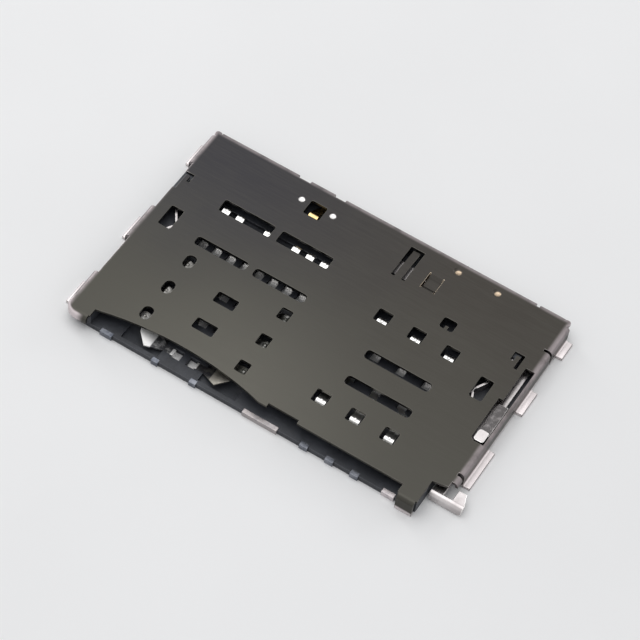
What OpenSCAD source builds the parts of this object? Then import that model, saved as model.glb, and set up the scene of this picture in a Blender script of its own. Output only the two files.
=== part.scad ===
// Twin-bay card socket for a circuit board, with a pin-operated tray ejector.
// The board face is z = 0, the tray enters from the front (-Y) and the ejector rod runs on the right (+X).

/* [Shell] */
// Outside depth from the front legs to the rear wall
shell_d = 18.4; // [18.1:0.1:21]
// Thickness of the sheet
sheet = 0.2; // [0.12:0.01:0.24]
// Outside radius of the folds
fold_r = 0.34; // [0.3:0.01:0.42]
// Outside radius of the drawn front corner
corner_r = 0.93; // [0.8:0.01:1.2]
// How far a rear corner of the top reaches past the folds
ear = 0.2; // [0.05:0.01:0.3]
// Radius of a rear corner of the top
ear_r = 0.2; // [0.05:0.01:0.24]
// Length of a solder foot outside its wall
foot_len = 0.5; // [0.3:0.05:0.8]
// Fillet between a solder foot and its wall
foot_fillet = 0.12; // [0.05:0.01:0.2]
// Gap between the board and the free edge of a wall
wall_lift = 0.08; // [0.04:0.01:0.2]
// Height of the front lip on the left rail
lip_drop = 0.65; // [0.5:0.05:0.9]

/* [Mouth] */
// Distance from the front of the legs back to the mouth edge
mouth_back = 1.0; // [0.8:0.05:1.3]
// Rise of the shallow arch in the mouth edge
arch_rise = 0.8; // [0.4:0.05:1]
// Chord of the arch in the mouth edge
arch_chord = 12.4; // [10:0.1:13]
// Centre of the arch from the slot's centre line
arch_offset = -5.35; // [-5.6:0.05:-4.6]
// Width of the step in the middle of the mouth edge
step_w = 2.25; // [1:0.05:3]
// Depth of the step in the middle of the mouth edge
step_d = 0.28; // [0.1:0.02:0.4]
// Centre of the step from the slot's centre line
step_offset = 2.6; // [2.3:0.05:3.1]
// Width of the front leg beside the push plate
leg_w = 1.42; // [1.2:0.02:1.8]

/* [Tray slot] */
// Width of the tray slot between the rails
slot_w = 23.2; // [22.4:0.1:25]
// Clear height of the tray slot
slot_h = 0.8; // [0.72:0.02:1]

/* [Housing] */
// Thickness of the moulded floor
floor_t = 0.4; // [0.34:0.02:0.6]
// Width of the left rail
left_rail_w = 1.65; // [1.5:0.05:3]
// Width of the rail between the tray slot and the rod channel
rail_w = 1.35; // [1.3:0.01:1.8]
// Width of the rod channel beside that rail
channel_w = 1.3; // [1.25:0.01:1.5]
// Thickness of the rear wall
rear_wall_t = 0.5; // [0.35:0.05:0.7]
// How far the housing's front lip stands behind the front of the legs
lip_back = 0.45; // [0.4:0.01:0.55]
// Thickness of the floor under the spring pockets
pocket_skin = 0.14; // [0.08:0.01:0.2]
// Diameter of the ejector pin marks under the floor
pin_mark_d = 1.2; // [0.8:0.1:1.6]
// Chamfer of the housing's front corner
corner_cut = 0.6; // [0.5:0.05:0.9]
// Gap between the housing and the folded walls
fit_clear = 0.05; // [0.02:0.01:0.1]
// Gap beside a contact in its moulded groove
mould_clear = 0.01; // [0.005:0.005:0.02]
// Height of a latch boss that holds a folded wall
latch_h = 0.36; // [0.2:0.02:0.44]
// Length of a latch boss
latch_len = 0.9; // [0.5:0.05:1.2]

/* [Contact springs] */
// Thickness of the contact strip
contact_t = 0.12; // [0.08:0.01:0.16]
// Length of the solder tails
tail_len = 0.6; // [0.4:0.05:0.7]
// Width of the solder tails
tail_w = 0.52; // [0.4:0.02:0.6]
// Height of a contact crown above the floor
crown_rise = 0.6; // [0.45:0.02:0.68]
// Radius of a contact crown
crown_r = 0.24; // [0.15:0.01:0.3]
// Length of the down-turned end past the crown
end_len = 0.22; // [0.1:0.02:0.3]
// Width of the moulded land that holds a contact
land_w = 0.6; // [0.4:0.05:0.7]

/* [Memory card bay] */
// Pitch of the memory card contacts
sd_pitch = 1.1; // [1.05:0.01:1.15]
// Width of a memory card contact at its crown
sd_w = 0.56; // [0.4:0.02:0.7]
// Middle of the memory card contacts from the slot's left edge
sd_offset = 6.22; // [5.6:0.02:6.9]
// Memory card crowns from the front of the shell
sd_line = 13.08; // [12.9:0.02:13.2]
// Length of a memory card spring from its land to its crown
sd_reach = 1.93; // [1.6:0.01:2]
// Set-back of the two supply contacts
sd_set_back = 0.55; // [0.3:0.05:0.7]

/* [SIM bays] */
// Pitch of the SIM contacts within a row
sim_pitch = 2.54; // [2.5:0.01:2.6]
// Distance between the two rows of SIM contacts
sim_rows = 7.62; // [7.5:0.01:7.7]
// Width of a SIM contact at its crown
sim_w = 0.7; // [0.5:0.02:0.9]
// Centre of the left SIM bay from the slot's left edge
sim_a_offset = 6.52; // [6:0.02:7.2]
// Front pockets of the left SIM bay behind the floor's front edge
sim_a_line = 0.33; // [0.28:0.01:0.6]
// Lands of the left bay from the bay's centre line
sim_a_land = 0.95; // [0.85:0.05:1.1]
// Shift of the left bay's two rear rows of lands to the front
sim_a_jog = 0.4; // [0.2:0.05:0.5]
// Shift of the left bay's front row of lands to the front
sim_a_front_jog = 1.0; // [0.8:0.05:1.05]
// Reach of the shield-shaped springs in front of their lands
shield = 0.82; // [0.5:0.02:0.86]
// Centre of the right SIM bay from the slot's right edge
sim_b_offset = -5.1; // [-5.6:0.02:-4.6]
// Centre of the right SIM bay from the front of the shell
sim_b_line = 7.49; // [7.4:0.01:7.6]
// Rear lands of the right bay from the bay's centre line
sim_b_rear_land = 1.86; // [1.7:0.02:1.95]
// Front lands of the right bay from the bay's centre line
sim_b_front_land = 1.09; // [0.9:0.02:1.3]
// Pitch of the right bay's solder tails
sim_b_tail_pitch = 1.95; // [1.8:0.05:2.3]
// Shift of the right bay's rear tails to the right
sim_b_rear_shift = 0.36; // [0:0.02:0.5]
// Shift of the right bay's front tails to the left
sim_b_front_shift = 0.12; // [0:0.02:0.3]

/* [Shell windows] */
// Width of a window over a contact crown
tip_window = 1.04; // [0.8:0.02:1.2]
// Depth of a window over a row of solder tails
tail_window = 0.74; // [0.5:0.02:0.9]
// Rib between the two windows over the memory card contacts
window_rib = 0.57; // [0.4:0.01:0.8]
// Width of the window over the detection switch
detect_window = 1.24; // [1:0.02:1.4]
// Width of the window over a tray lock
lock_window = 0.95; // [0.8:0.05:1.2]
// Corner radius of the windows
window_r = 0.12; // [0.05:0.01:0.2]
// Width of the hooked slits beside the tray locks
slit_w = 0.22; // [0.15:0.01:0.3]

/* [Tray lock and detection] */
// Thickness of a tray lock spring
lock_t = 0.15; // [0.1:0.01:0.2]
// How far a tray lock spring reaches into the slot
lock_in = 0.35; // [0.15:0.05:0.5]
// Tray lock crowns in front of the lever's pivot
lock_line = 5.56; // [5.2:0.02:6]
// Distance of a lock spring's anchor from the slot
lock_back = 0.9; // [0.8:0.05:1]
// Height of a tray lock spring
lock_h = 0.65; // [0.5:0.05:0.7]
// Centre of the detection switch from the end of the lever's arm
detect_offset = -1.28; // [-1.5:0.02:-1.16]
// Solder tail of the detection spring from the switch's centre
detect_tail = 0.82; // [0.7:0.02:0.9]
// Solder tail of the detection pad from the switch's centre
pad_tail = -1.99; // [-2.2:0.01:-1.9]
// Length of the detection spring from its land to its crown
detect_reach = 1; // [0.8:0.05:1.2]

/* [Ejector] */
// Travel of the push rod
rod_stroke = 1.5; // [0.8:0.05:1.6]
// Width of the push rod
rod_w = 0.8; // [0.6:0.05:0.9]
// Thickness of the push rod
rod_t = 0.3; // [0.2:0.02:0.36]
// Centre of the push rod from the shell's right face
rod_inset = 0.95; // [0.9:0.01:1]
// Width of the push plate
plate_w = 2.4; // [1.8:0.05:2.6]
// Front face of the push plate from the front of the shell
plate_line = 1.75; // [1.6:0.05:1.8]
// Radius of the push plate's lower corners
plate_r = 0.3; // [0.1:0.05:0.34]
// Length of the stop lug on the rod
lug_len = 0.94; // [0.6:0.02:1.1]
// Thickness of the eject lever
lever_t = 0.4; // [0.25:0.02:0.46]
// Width of the eject lever beside its hub
lever_w = 1.2; // [0.8:0.05:1.3]
// Length of the lever's arm on the rod
rod_arm = 8.35; // [8.1:0.05:8.6]
// Length of the lever's arm that pushes the tray
tray_arm = 8.2; // [7.6:0.1:8.3]
// Radius of the lever's tip on the rod
tip_r = 0.42; // [0.3:0.02:0.44]
// Pivot of the lever behind the end of the right rail
rail_gap = 1.56; // [1.4:0.01:1.8]
// Pivot of the lever from the shell's rear face
pivot_back = 2.79; // [2.6:0.01:3.4]
// Diameter of the pivot boss
pivot_d = 1.2; // [0.9:0.05:1.4]
// Running gap of the rod and the lever
run_clear = 0.05; // [0.03:0.01:0.07]

/* [Hidden] */
$fn = 48;
arch_fn = 180;
sd_count = 8;
sim_count = 6;

steel = "#5b5853";
bright = "#c9c5c4";
moulding = "#26282e";
gold = "#c39a4a";

// Overshoot of a cutting shape, overlap of joined shapes and margin of a moulded opening
cut = 0.5;
lap = 0.02;
margin = 0.1;

// Levels above the board
under = floor_t + slot_h;
shell_h = under + sheet;
strip_z = floor_t - contact_t / 2;
slide_z = floor_t + run_clear;
rod_top = slide_z + rod_t;
lever_top = slide_z + lever_t;

// Outlines in plan
shell_w = slot_w + left_rail_w + rail_w + channel_w + 2 * (sheet + fit_clear);
wall_x = shell_w / 2;
wall_y = shell_d / 2;
front = -wall_y;
top_x = wall_x - fold_r;
top_y = wall_y - fold_r;
house_x = wall_x - sheet - fit_clear;
house_rear = wall_y - sheet - fit_clear;
house_front = front + lip_back;
slot_l = left_rail_w - house_x;
slot_r = slot_l + slot_w;
slot_x = (slot_l + slot_r) / 2;
rail_r = slot_r + rail_w;
leg_r = rail_r + 0.04;
leg_l = leg_r - leg_w;

// Mouth edge
mouth_y = front + mouth_back;
arch_x = slot_x + arch_offset;
step_x = slot_x + step_offset;
arch_r = (arch_chord * arch_chord / 4 + arch_rise * arch_rise) / (2 * arch_rise);

// Places of the bays
shield_gap = 0.08;
sd_x = slot_l + sd_offset;
sd_y = front + sd_line;
sim_a_x = slot_l + sim_a_offset;
sim_a_y = house_front + sim_a_line + shield_gap + shield + sim_a_front_jog + sim_pitch;
sim_b_x = slot_r + sim_b_offset;
sim_b_y = front + sim_b_line;

// Places of the lever, the locks and the switch
rail_past = 0.4;
rod_x = wall_x - rod_inset;
pivot = [rod_x - rod_arm, wall_y - pivot_back];
rail_end = pivot.y - rail_gap;
lock_y = pivot.y - lock_line;
lock_anchor = lock_line - rail_gap - rail_past;
detect_x = pivot.x - tray_arm + detect_offset;
detect_tail_x = detect_x + detect_tail;
pad_tail_x = detect_x + pad_tail;

// Ejector
lever_turn = rod_stroke / rod_arm * 180 / PI;
lever_rest = -lever_turn / 2;
rod_end = pivot.y + rod_arm * sin(lever_rest) - tip_r - run_clear;
plate_y = front + plate_line;
plate_left = leg_r + 2 * run_clear;
plate_bend = rod_t + 0.08;
head_back = plate_y + plate_bend + lap;
right_wall_front = head_back + rod_stroke + 2 * run_clear;
channel_front = right_wall_front + run_clear;

// Folded walls and solder feet: [start, end] along the edge
corner_gap = fold_r + ear + 0.1;
left_walls = [[front + corner_r, front + 3.6], [lock_y - 2.81, lock_y + 0.24],
              [wall_y - 3.48, wall_y - corner_gap]];
right_walls = [[right_wall_front, wall_y - 3.28], [wall_y - 3.08, wall_y - corner_gap]];
rear_walls = [[corner_gap - wall_x, pad_tail_x - 0.5], [pad_tail_x + 0.5, detect_tail_x - 0.45],
              [detect_tail_x + 0.45, wall_x - 2.8], [wall_x - 2.5, wall_x - corner_gap]];
left_feet = [[front + 1.2, front + 3.2], [lock_y - 2.35, lock_y - 0.25], [wall_y - 3, wall_y - 1]];
right_feet = [[right_wall_front + 0.05, lock_y - 2.95], [lock_y + 0.63, lock_y + 2.7],
              [wall_y - 2.3, wall_y - 0.8]];

// Latch places along the left and rear walls
left_latches = [lock_y - 1.25, wall_y - 2.1];
rear_latches = [slot_x - 9.7, slot_x + 1.3, slot_x + 8.5];
latch_out = sheet * 0.75;
latch_z = floor_t + 0.06;

// Ribbon of thickness t along a list of points
function unit(v) = v / norm(v);
function side_of(p, q) = let (d = unit(q - p)) [-d.y, d.x];
function mitre(pts, i) =
  let (last = len(pts) - 1,
       a = side_of(pts[max(i - 1, 0)], pts[max(i, 1)]),
       b = side_of(pts[min(i, last - 1)], pts[min(i + 1, last)]))
  (a + b) / (1 + a * b);
function ribbon(pts, t) = concat(
  [for (i = [0 : len(pts) - 1]) pts[i] + mitre(pts, i) * t / 2],
  [for (i = [len(pts) - 1 : -1 : 0]) pts[i] - mitre(pts, i) * t / 2]);
function arc(centre, r, from, to, steps) =
  [for (s = [0 : steps]) let (a = from + (to - from) * s / steps) centre + r * [cos(a), sin(a)]];

module round_rect(w, h, r) {
  square([w - 2 * r, h], center = true);
  square([w, h - 2 * r], center = true);
  for (x = [-1, 1], y = [-1, 1]) translate([x * (w / 2 - r), y * (h / 2 - r)]) circle(r);
}

module span_rect(x0, x1, y0, y1) {
  translate([x0, y0]) square([x1 - x0, y1 - y0]);
}

// Contact springs, seen from the side: solder tail, riser, moulded land, sprung arm and crown.
// The land's inner edge is u = 0 and the crown lies at u = land + reach.
crown_steps = 6;
end_fall = 40;
function tail_path() =
  [[-tail_len, contact_t / 2], [-contact_t / 2, contact_t / 2], [-contact_t / 2, strip_z]];
function spring_path(land, reach) =
  let (crown = [land + reach, floor_t + crown_rise - contact_t / 2 - crown_r],
       way = crown - [land, strip_z],
       climb = atan2(way.y, way.x) + asin(crown_r / norm(way)),
       top = arc(crown, crown_r, 90 + climb, 90 - end_fall, crown_steps))
  concat(tail_path(), [[land, strip_z]], top,
         [top[crown_steps] + end_len * [cos(end_fall), -sin(end_fall)]]);

// Plan of a spring whose tail lies at v = tail_v and whose crown lies at v = 0
function splay_plan(land, reach, tail_v, tip_w, gap) =
  let (a = tail_w / 2 + gap, b = tip_w / 2 + gap, far = land + reach + crown_r + end_len + gap)
  [[-tail_len - gap, tail_v + a], [0, tail_v + a], [land, b], [far, b],
   [far, -b], [land, -b], [0, tail_v - a], [-tail_len - gap, tail_v - a]];

// Plan of a shield-shaped spring whose land lies jog in front of its crown
shoulder = 0.55;
function shield_plan(reach, jog, gap) =
  let (a = tail_w / 2 + gap, b = sim_w / 2 + gap, far = land_w + reach + crown_r + end_len + gap,
       neck = land_w + reach * 0.75, waist = land_w + reach * 0.93)
  [[-tail_len - gap, a - jog], [land_w, a - jog], [land_w + reach * 0.2, shoulder - jog],
   [neck, b], [far, b], [far, -b], [waist, -b], [land_w + reach * 0.82, -margin - jog],
   [land_w + reach / 2, -shield - jog], [land_w, -a - jog], [-tail_len - gap, -a - jog]];

strip_reach = sim_rows;
module bent_strip(path, plan) {
  intersection() {
    rotate([90, 0, 0]) linear_extrude(strip_reach, center = true) polygon(ribbon(path, contact_t));
    linear_extrude(shell_h) polygon(plan);
  }
}

module land_groove(length, plan, rise) {
  translate([0, 0, floor_t - contact_t]) linear_extrude(contact_t + rise) intersection() {
    polygon(plan);
    span_rect(-mould_clear, length + mould_clear, -strip_reach, strip_reach);
  }
}

// Memory card contacts
function sd_back(i) = i == 3 || i == 5 ? sd_set_back : 0;
sd_land_y = sd_y - sd_reach - land_w;
module sd_place(i) {
  translate([sd_x + (i - (sd_count + 1) / 2) * sd_pitch, sd_land_y, 0]) rotate(90) children();
}
module sd_contact(i) {
  reach = sd_reach - sd_back(i);
  color(bright) sd_place(i)
    bent_strip(spring_path(land_w, reach), splay_plan(land_w, reach, 0, sd_w, 0));
}

// Left SIM bay: rows run along the socket, springs point outwards
sim_a_reach = sim_rows / 2 - sim_a_land - land_w;
function sim_row(i) = (i - 1) % 3;
function sim_a_row_y(i) = sim_a_y + (1 - sim_row(i)) * sim_pitch;
function sim_a_jog_of(i) = sim_row(i) == 2 ? sim_a_front_jog : sim_a_jog;
module sim_a_place(i) {
  translate([sim_a_x, sim_a_row_y(i), 0]) mirror([i > 3 ? 0 : 1, 0, 0])
    translate([sim_a_land, 0, 0]) children();
}
module sim_a_contact(i) {
  color(bright) sim_a_place(i)
    bent_strip(spring_path(land_w, sim_a_reach), shield_plan(sim_a_reach, sim_a_jog_of(i), 0));
}

// Right SIM bay: rows run across the socket, springs point to the rear and to the front
function sim_b_land(i) = i > 3 ? sim_b_front_land : sim_b_rear_land;
function sim_b_reach(i) = sim_rows / 2 - sim_b_land(i) - land_w;
function sim_b_tail_v(i) =
  (sim_row(i) - 1) * (sim_pitch - sim_b_tail_pitch) + (i > 3 ? sim_b_front_shift : -sim_b_rear_shift);
module sim_b_place(i) {
  translate([sim_b_x + (sim_row(i) - 1) * sim_pitch, sim_b_y, 0]) mirror([0, i > 3 ? 1 : 0, 0])
    rotate(90) translate([sim_b_land(i), 0, 0]) children();
}
function sim_b_plan(i, gap) = splay_plan(land_w, sim_b_reach(i), sim_b_tail_v(i), sim_w, gap);
module sim_b_contact(i) {
  color(bright) sim_b_place(i) bent_strip(spring_path(land_w, sim_b_reach(i)), sim_b_plan(i, 0));
}

// Detection switch: a spring over a flat pad, both with tails through the rear wall
detect_land = rear_wall_t + 0.5;
pad_front = detect_land + detect_reach + 0.3;
pad_rear = pad_front - tail_w;
function detect_plan(gap) = splay_plan(detect_land, detect_reach, detect_tail, sim_w, gap);
function pad_plan(gap) =
  let (a = tail_w / 2 + gap, side = sim_w / 2 - pad_tail + gap)
  [[-tail_len - gap, a], [pad_rear - gap, a], [pad_rear - gap, side], [pad_front + gap, side],
   [pad_front + gap, -a], [-tail_len - gap, -a]];
module rear_place(x) {
  translate([x, house_rear, 0]) rotate(-90) children();
}
module detect_spring() {
  color(gold) rear_place(detect_x)
    bent_strip(spring_path(detect_land, detect_reach), detect_plan(0));
}
module detect_pad() {
  color(gold) rear_place(pad_tail_x)
    bent_strip(concat(tail_path(), [[pad_front, strip_z]]), pad_plan(0));
}

// Solder lugs that wrap the front lip: [centre from the slot's centre line, width]
lugs = [[-10.35, 0.9], [-6.6, 0.5], [-3.7, 0.5], [1.4, 2.6],
        [4.7, 0.6], [6.6, 0.6], [8.45, 0.6], [10.95, 0.9]];
lug_in = 0.22;
module front_pads() {
  path = [[-lug_in, strip_z], [contact_t / 2, strip_z], [contact_t / 2, 0]];
  color(bright) for (lug = lugs)
    translate([slot_x + lug[0], house_front, 0]) rotate([90, 0, -90])
      linear_extrude(lug[1], center = true) polygon(ribbon(path, contact_t));
}

// Tray lock springs: leaf springs on edge in pockets of the rails; the right one reaches in less
lock_crown_r = 0.35;
lock_turn = 55;
lock_front = 1.5;
lock_rear = 1.85;
lock_share = [0.4, 1];
lock_ax = slot_r + lock_back;
function lock_path(side) =
  let (crown = [slot_r - lock_in * lock_share[side] + lock_crown_r + lock_t / 2, lock_y])
  concat([[lock_ax, lock_y + lock_anchor], [lock_ax, lock_y + lock_rear]],
         arc(crown, lock_crown_r, 180 - lock_turn, 180 + lock_turn, crown_steps),
         [[slot_r + lock_back * 0.6, lock_y - lock_front]]);
module mirrored_in_slot(left) {
  translate([left ? 2 * slot_x : 0, 0, 0]) mirror([left ? 1 : 0, 0, 0]) children();
}
module lock_spring(left) {
  color(bright) mirrored_in_slot(left) translate([0, 0, floor_t])
    linear_extrude(lock_h) polygon(ribbon(lock_path(left ? 1 : 0), lock_t));
}
module lock_pocket() {
  anchor_half = lock_t / 2 + mould_clear;
  translate([0, 0, floor_t]) linear_extrude(slot_h + cut) {
    span_rect(slot_r - cut, lock_ax + 0.25, lock_y - lock_front - 0.3, lock_y + lock_rear);
    span_rect(lock_ax - anchor_half, lock_ax + anchor_half,
              lock_y + lock_rear - cut, lock_y + lock_anchor + mould_clear);
  }
}

// Eject lever, drawn with its pivot at the origin and turned to its rest angle
module lever_arm(length, end_r) {
  side = end_r - lap;
  linear_extrude(lever_t)
    polygon([[0, lever_w / 2], [length, side], [length, -side], [0, -lever_w / 2]]);
  translate([length, 0, 0]) cylinder(r = end_r, h = lever_t);
}
module eject_lever() {
  color(bright) translate([pivot.x, pivot.y, slide_z]) rotate(lever_rest) difference() {
    union() {
      cylinder(r = pivot_d, h = lever_t);
      lever_arm(rod_arm, tip_r);
      mirror([1, 0, 0]) lever_arm(tray_arm, lever_w / 2);
    }
    translate([0, 0, -cut]) cylinder(r = pivot_d / 2 + run_clear, h = lever_t + 2 * cut);
  }
}

// Push rod: a flat slide with a stop lug in the shell's side opening and a folded push plate
rod_lug_y = lock_y - 3.51;
rod_land_rear = lock_y;
rod_land_h = 0.3;
rod_side = wall_x - sheet - 2 * run_clear;
tab_len = 0.85;
tab_w = 0.58;
module push_plate() {
  height = rod_top - run_clear;
  intersection() {
    translate([plate_left, plate_y, 0]) rotate([90, 0, 90]) linear_extrude(plate_w) {
      span_rect(0, rod_t, run_clear, rod_top - plate_bend);
      span_rect(plate_bend, plate_bend + lap, slide_z, rod_top);
      translate([plate_bend, rod_top - plate_bend]) difference() {
        intersection() {
          circle(plate_bend);
          span_rect(-plate_bend, 0, 0, plate_bend);
        }
        circle(plate_bend - rod_t);
      }
    }
    translate([plate_left + plate_w / 2, head_back + cut, 0]) rotate([90, 0, 0])
      linear_extrude(plate_bend + 2 * cut) {
        translate([0, run_clear + height / 2]) round_rect(plate_w, height, plate_r);
        translate([0, rod_top - plate_r / 2]) square([plate_w, plate_r], center = true);
      }
  }
}
module push_tab() {
  tab_x = wall_x + 2 * run_clear;
  linear_extrude(rod_t)
    polygon([[tab_x, head_back - lap], [plate_left + plate_w, head_back - lap],
             [tab_x + tab_w, head_back + tab_len], [tab_x, head_back + tab_len]]);
}
module push_rod() {
  land_x = rod_x - 0.07;
  lug_w = rod_side - land_x;
  color(bright) {
    push_plate();
    translate([0, 0, slide_z]) {
      push_tab();
      linear_extrude(rod_t)
        span_rect(rod_x - rod_w / 2, rod_x + rod_w / 2, head_back - lap, rod_end);
      linear_extrude(rod_t + rod_land_h)
        span_rect(land_x, rod_side, rod_lug_y + lug_len - margin, rod_land_rear);
      linear_extrude(shell_h - slide_z - run_clear)
        translate([land_x + lug_w / 2, rod_lug_y + lug_len / 2]) round_rect(lug_w, lug_len, 0.2);
    }
  }
}

// Housing
module housing_outline() {
  difference() {
    span_rect(-house_x, house_x, house_front, house_rear);
    span_rect(rail_r, house_x + cut, house_front - cut, channel_front);
    translate([-house_x, house_front]) rotate(45) square(corner_cut * sqrt(2), center = true);
  }
}
module rails(side, rear) {
  intersection() {
    housing_outline();
    union() {
      span_rect(-side, slot_l, house_front, rear);
      span_rect(slot_r, rail_r, house_front, rail_end);
      span_rect(-side, side, house_rear - rear_wall_t, rear);
    }
  }
}
module latch() {
  out = latch_out + fit_clear;
  rotate([90, 0, 0]) linear_extrude(latch_len, center = true)
    polygon([[-lap, 0], [out, 0], [out, latch_h * 0.6], [0, latch_h], [-lap, latch_h]]);
}
module latch_bosses() {
  translate([0, 0, latch_z]) {
    for (y = left_latches) translate([-house_x, y, 0]) rotate(180) latch();
    for (x = rear_latches) translate([x, house_rear, 0]) rotate(90) latch();
  }
}
module spring_pockets() {
  past_crown = crown_r + end_len + margin;
  sd_half = sd_pitch * (sd_count - 1) / 2 + sd_w / 2 + 2 * margin;
  span_rect(sd_x - sd_half, sd_x + sd_half, sd_land_y + land_w, sd_y + past_crown);
  for (i = [1 : 3], side = [0, 1]) translate([sim_a_x, sim_a_row_y(i)]) mirror([side, 0, 0])
    span_rect(sim_a_land + land_w, sim_rows / 2 + past_crown,
              -sim_a_jog_of(i) - shield - shield_gap, sim_w / 2 + margin);
  sim_b_half = sim_pitch + sim_w / 2 + 2 * margin;
  sim_b_end = sim_rows / 2 + past_crown;
  translate([sim_b_x, sim_b_y]) {
    span_rect(-sim_b_half, sim_b_half, sim_b_rear_land + land_w, sim_b_end);
    span_rect(-sim_b_half, sim_b_half, -sim_b_end, -sim_b_front_land - land_w);
  }
}
module tail_notch(tail_v) {
  half = tail_w / 2 + margin;
  span_rect(-tail_len - margin, 0, tail_v - half, tail_v + half);
}
module tail_notches() {
  for (i = [1 : sd_count]) sd_place(i) tail_notch(0);
  for (i = [1 : sim_count]) {
    sim_a_place(i) tail_notch(-sim_a_jog_of(i));
    sim_b_place(i) tail_notch(sim_b_tail_v(i));
  }
}
pin_mark_in = 0.05;
pin_marks = [[slot_x + 1.5, house_front + 1.4], [slot_x + 1.5, sim_b_y], [slot_x + 1.5, house_rear - 2.2],
             [slot_l + 2, house_rear - 2.2], [slot_r - 2.4, house_rear - 2.2], [slot_r - 0.9, sim_b_y],
             [slot_l + 0.9, sim_a_y]];
module grooves() {
  for (i = [1 : sd_count])
    sd_place(i) land_groove(land_w, splay_plan(land_w, sd_reach, 0, sd_w, mould_clear), cut);
  for (i = [1 : sim_count]) {
    sim_a_place(i) land_groove(land_w, shield_plan(sim_a_reach, sim_a_jog_of(i), mould_clear), cut);
    sim_b_place(i) land_groove(land_w, sim_b_plan(i, mould_clear), cut);
  }
  rear_place(detect_x) land_groove(detect_land + detect_reach / 2, detect_plan(mould_clear), 0);
  rear_place(pad_tail_x) land_groove(pad_front, pad_plan(mould_clear), 0);
  for (lug = lugs) translate([slot_x + lug[0], house_front, floor_t - contact_t])
    linear_extrude(contact_t + cut)
      span_rect(-lug[1] / 2 - mould_clear, lug[1] / 2 + mould_clear, -cut, lug_in + mould_clear);
}
module housing() {
  color(moulding) difference() {
    union() {
      linear_extrude(floor_t) housing_outline();
      linear_extrude(shell_h - fold_r) rails(house_x, house_rear);
      linear_extrude(under) rails(top_x, top_y);
      translate([pivot.x, pivot.y, 0]) cylinder(d = pivot_d, h = lever_top + run_clear);
      latch_bosses();
    }
    translate([0, 0, pocket_skin]) linear_extrude(floor_t) spring_pockets();
    translate([0, 0, -cut]) linear_extrude(floor_t + 2 * cut) tail_notches();
    for (mark = pin_marks) translate([mark.x, mark.y, -cut]) cylinder(d = pin_mark_d, h = cut + pin_mark_in);
    grooves();
    for (left = [false, true]) mirrored_in_slot(left) lock_pocket();
  }
}

// Shell: cross-sections of a folded wall and of a wall with a solder foot
module fold(drop) {
  translate([-fold_r, -fold_r]) difference() {
    intersection() {
      circle(fold_r);
      square(fold_r);
    }
    circle(fold_r - sheet);
  }
  translate([-sheet, -drop]) square([sheet, drop - fold_r]);
  translate([-fold_r - lap, -sheet]) square([lap, sheet]);
}
module foot() {
  translate([-sheet, -shell_h]) square([foot_len + sheet, sheet]);
  translate([-sheet, -shell_h]) square([sheet, shell_h - fold_r]);
  translate([0, sheet - shell_h]) difference() {
    square(foot_fillet);
    translate([foot_fillet, foot_fillet]) circle(foot_fillet);
  }
}

// Placing of a cross-section along the four edges
module along(length) {
  translate([0, length, 0]) rotate([90, 0, 0]) linear_extrude(length) children();
}
module right_side(spans) {
  for (s = spans) translate([wall_x, s[0], shell_h]) along(s[1] - s[0]) children();
}
module left_side(spans) {
  mirror([1, 0, 0]) right_side(spans) children();
}
module rear_side(spans) {
  for (s = spans) translate([s[1], wall_y, shell_h]) rotate(90) along(s[1] - s[0]) children();
}
module front_side(spans) {
  for (s = spans) translate([s[0], front, shell_h]) rotate(-90) along(s[1] - s[0]) children();
}

// Finger between two relief slits in front of the right wall
relief = 0.25;
finger = [right_wall_front - 3.4 * relief, right_wall_front - relief];
finger_drop = fold_r + margin;
module walls() {
  wall_drop = shell_h - wall_lift;
  right_side(right_walls) fold(wall_drop);
  right_side(right_feet) foot();
  right_side([finger]) fold(finger_drop);
  left_side(left_walls) fold(wall_drop);
  left_side(left_feet) foot();
  rear_side(rear_walls) fold(wall_drop);
  front_side([[corner_r - wall_x, slot_l - margin]]) fold(lip_drop);
  front_side([[leg_l + margin, leg_r - margin]]) fold(shell_h);
  translate([corner_r - wall_x, front + corner_r, shell_h]) rotate(180) rotate_extrude(angle = 90)
    translate([corner_r, 0]) fold(lip_drop);
}

// Top plate outline, before piercing
notch_y = front + 2.25;
notch_rise = 0.2;
module rear_ear() {
  size = ear + corner_gap - fold_r;
  translate([top_x + ear - size / 2, top_y + ear - size / 2]) round_rect(size, size, ear_r);
}
module mouth_cut() {
  span_rect(slot_l, leg_l, front - cut, mouth_y);
  intersection() {
    translate([arch_x, mouth_y + arch_rise - arch_r]) circle(arch_r, $fn = arch_fn);
    span_rect(slot_l, leg_l, front, mouth_y + arch_rise + cut);
  }
  span_rect(step_x - step_w / 2, step_x + step_w / 2, mouth_y - cut, mouth_y + step_d);
}
module plate_notch() {
  side = top_x - margin;
  polygon([[leg_r, front - cut], [leg_r, notch_y], [side, notch_y + notch_rise], [side, finger[0]],
           [wall_x, finger[0]], [wall_x, front - cut]]);
  span_rect(side, wall_x, finger[1], right_wall_front);
}
module top_plate() {
  difference() {
    union() {
      span_rect(-top_x, top_x, -top_y, top_y);
      rear_ear();
      mirror([1, 0]) rear_ear();
    }
    mouth_cut();
    plate_notch();
    span_rect(top_x - 0.25, wall_x, right_walls[0][1], right_walls[1][0]);
    translate([corner_r - wall_x, front + corner_r]) rotate(180) difference() {
      square(corner_r);
      circle(corner_r - fold_r);
    }
  }
}

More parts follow.
